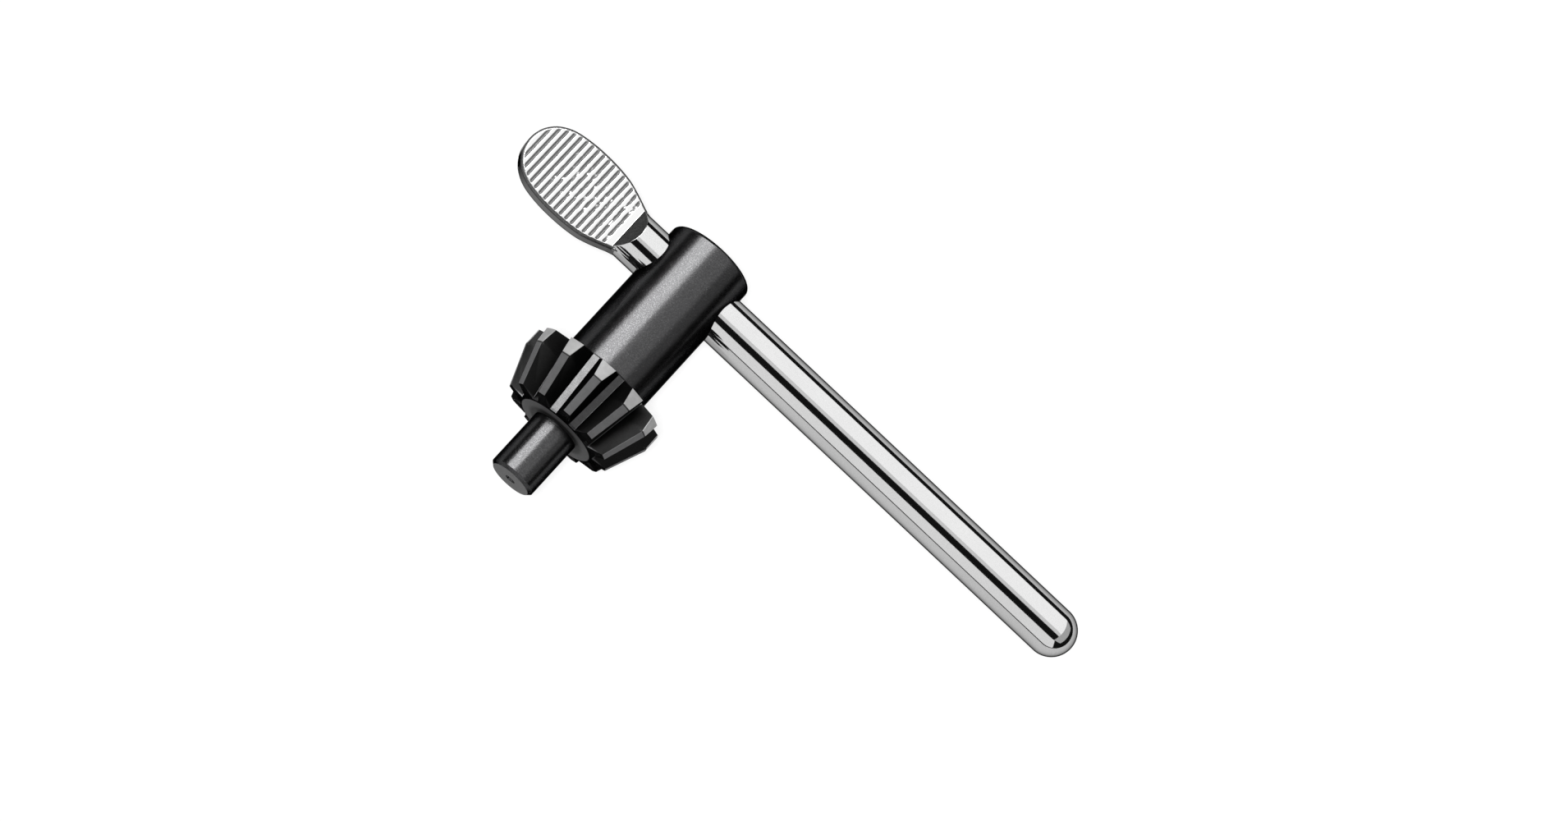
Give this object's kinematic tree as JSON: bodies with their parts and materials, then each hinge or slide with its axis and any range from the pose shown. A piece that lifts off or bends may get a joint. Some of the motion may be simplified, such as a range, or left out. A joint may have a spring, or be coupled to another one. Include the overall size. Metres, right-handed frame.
{
  "type": "drill chuck key",
  "caption": "Drill chuck key: bevel pinion and round pilot on a black hub, with a pressed-in chrome bar ending in a ribbed thumb paddle.",
  "frame": {"origin": "where the hub axis crosses the handle axis, inside the hub", "axes": "+X along the handle towards its domed end, -Y along the hub axis towards the tip of the pilot, +Z square to the paddle's ribbed face"},
  "size_m": [0.1152, 0.0479, 0.0244],
  "materials": {
    "black_oxide_steel": "satin black oxide over turned and milled steel",
    "chrome_plate": "bright chrome plate over forged steel"
  },
  "bodies": {
    "root": {"key_body": "black_oxide_steel", "thumb_handle": "chrome_plate"}
  },
  "joints": []
}
